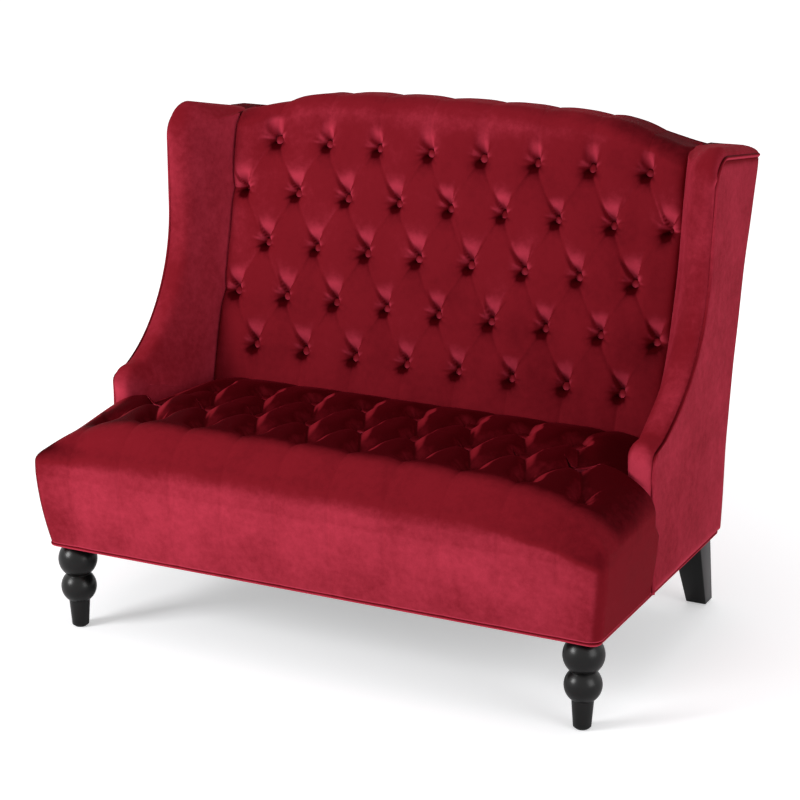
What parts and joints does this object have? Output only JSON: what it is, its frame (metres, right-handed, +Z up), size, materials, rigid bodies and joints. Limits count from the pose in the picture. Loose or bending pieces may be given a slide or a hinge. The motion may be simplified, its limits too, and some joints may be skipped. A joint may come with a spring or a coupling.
{
  "type": "high back settee",
  "caption": "High-back settee with wings, a diamond-tufted velvet seat and arched back, piped sides, turned front legs and raked square rear legs.",
  "frame": {"origin": "on the floor, under the middle of the settee's bounding box", "axes": "+X to the right as seen from the front, +Y to the rear, +Z up"},
  "size_m": [1.206, 0.8, 1.007],
  "materials": {
    "velvet": "short-pile crimson velvet",
    "frame_timber": "sawn, unfinished",
    "plywood": "sanded, unfinished",
    "black_lacquer": "satin black lacquer",
    "spring_steel": "oiled spring wire",
    "zinc_steel": "bright zinc",
    "deck_cloth": "needled felt",
    "black_cloth": "black non-woven cloth",
    "webbing": "woven jute",
    "twine": "waxed twine",
    "black_plastic": "moulded"
  },
  "bodies": {
    "root": {"back_button_twine": "twine", "back_buttons": "velvet", "back_cushion": "velvet", "back_lower_rail": "frame_timber", "back_post_left": "frame_timber", "back_post_right": "frame_timber", "back_top_rail": "frame_timber", "back_upright": "frame_timber", "back_webbing": "webbing", "base_welt": "velvet", "deck_cloth": "deck_cloth", "dust_cover": "black_cloth", "foot_glides": "black_plastic", "frame_screws": "zinc_steel", "front_corner_post_left": "frame_timber", "front_corner_post_right": "frame_timber", "front_leg_left": "black_lacquer", "front_leg_right": "black_lacquer", "front_rail": "frame_timber", "leg_bolts": "zinc_steel", "outside_back_cover": "velvet", "outside_side_cover_left": "velvet", "outside_side_cover_right": "velvet", "panel_screws": "zinc_steel", "rear_corner_post_left": "frame_timber", "rear_corner_post_right": "frame_timber", "rear_leg_left": "black_lacquer", "rear_leg_right": "black_lacquer", "rear_rail": "frame_timber", "seat_button_twine": "twine", "seat_buttons": "velvet", "seat_cushion": "velvet", "seat_springs": "spring_steel", "seat_stretcher": "frame_timber", "side_rail_left": "frame_timber", "side_rail_right": "frame_timber", "side_welt_left": "velvet", "side_welt_right": "velvet", "spring_clips": "zinc_steel", "tee_nuts": "zinc_steel", "wing_pad_left": "velvet", "wing_pad_right": "velvet", "wing_panel_left": "plywood", "wing_panel_right": "plywood"}
  },
  "joints": []
}
